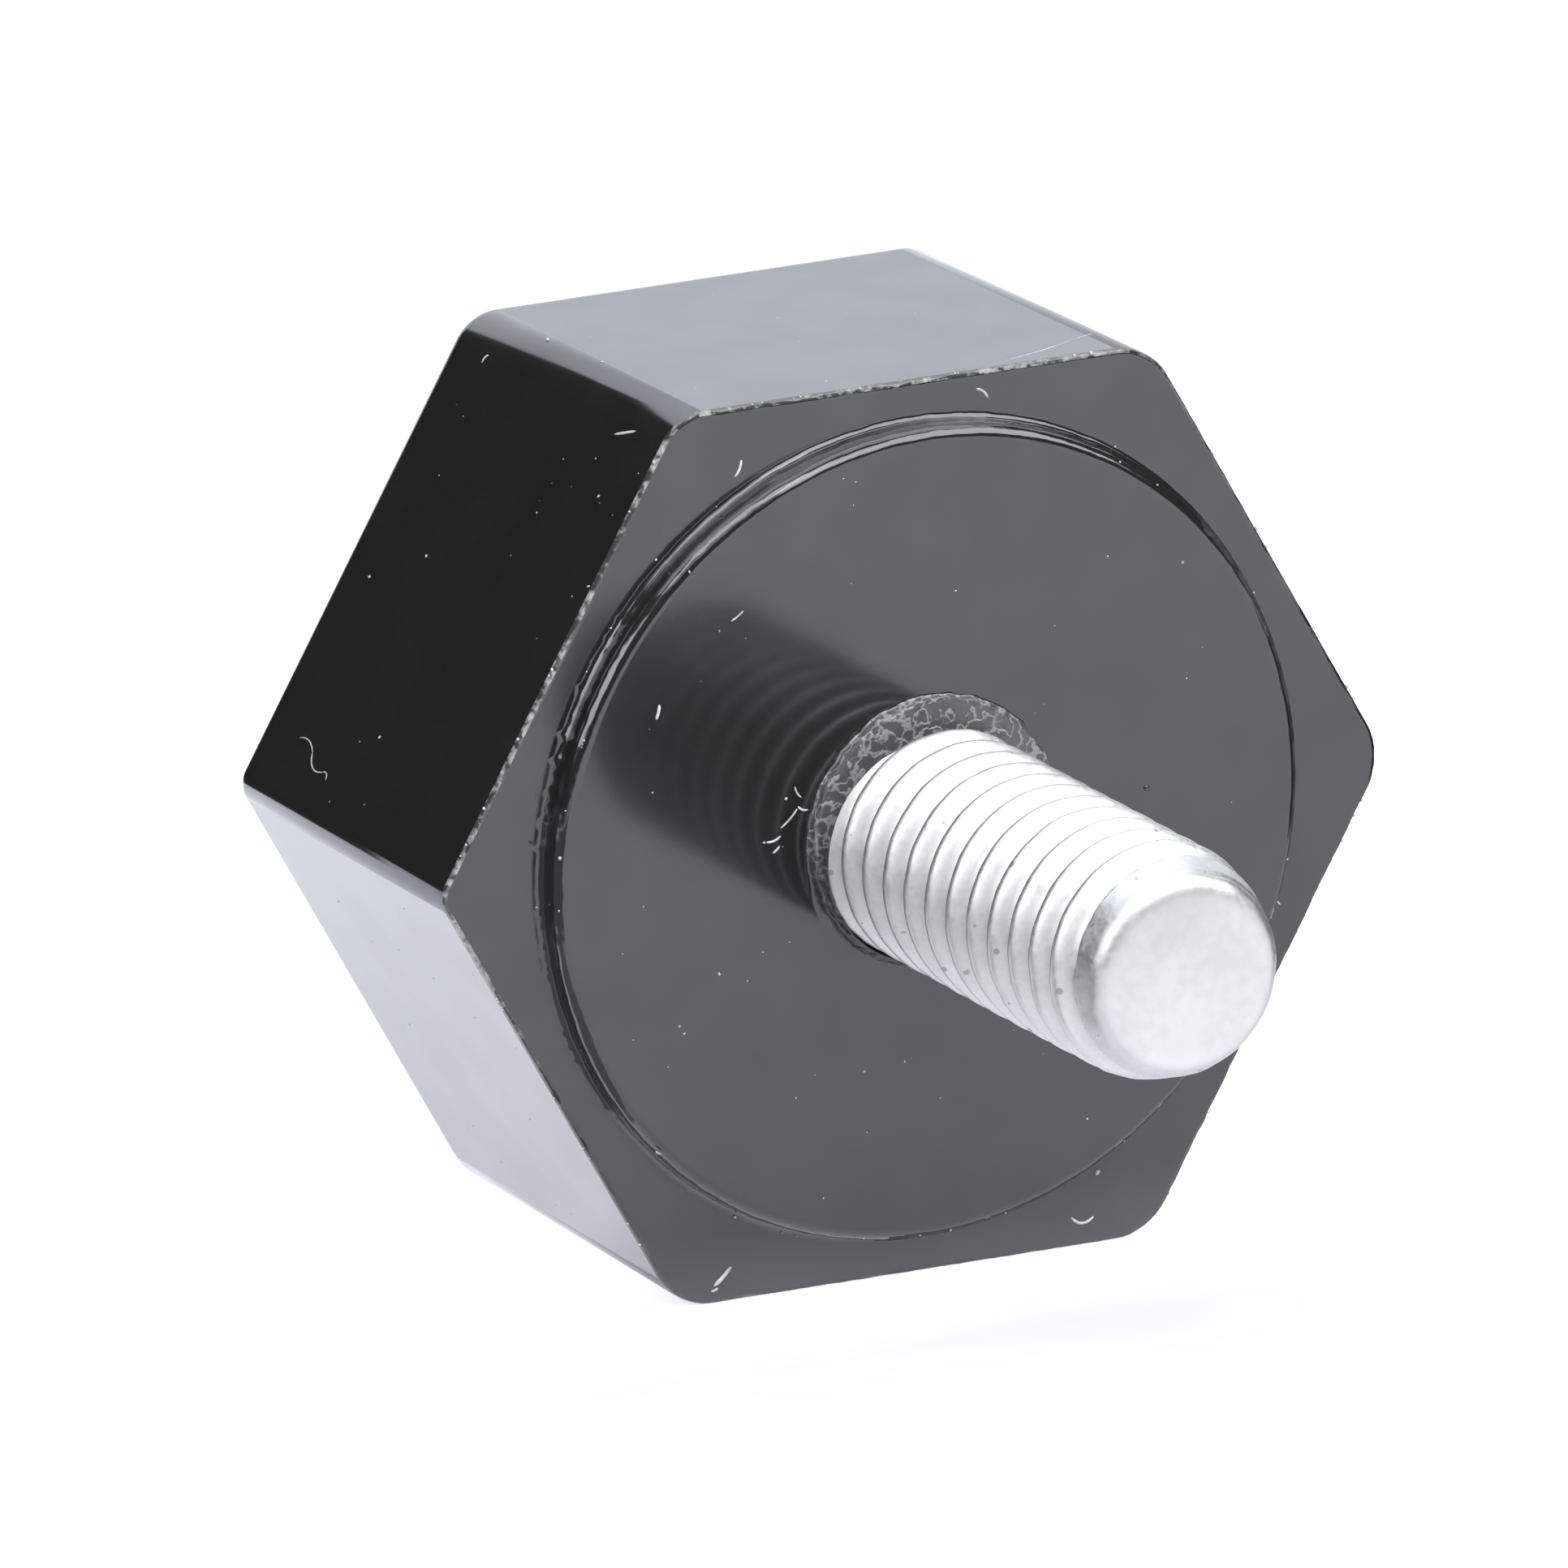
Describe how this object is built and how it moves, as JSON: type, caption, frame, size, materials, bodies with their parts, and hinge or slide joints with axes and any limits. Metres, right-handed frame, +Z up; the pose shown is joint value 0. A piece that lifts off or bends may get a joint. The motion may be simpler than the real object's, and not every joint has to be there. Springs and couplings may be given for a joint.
{
  "type": "thumbscrew",
  "caption": "Thumbscrew with a glossy black hexagonal plastic head, a raised round washer face and collar, and a bright threaded metal stud moulded into it.",
  "frame": {"origin": "middle of the washer face, on the stud's axis, where the screw seats", "axes": "-Y along the stud towards its tip, +Z up through a flat of the head, +X to the right seen from the tip"},
  "size_m": [0.017, 0.0168, 0.015],
  "materials": {
    "head_plastic": "glossy black moulded plastic with light dust, a rough line of flash and soft reflections",
    "stud_metal": "bright satin zinc plate on a rolled thread"
  },
  "bodies": {
    "root": {"hex_head": "head_plastic", "threaded_stud": "stud_metal"}
  },
  "joints": []
}
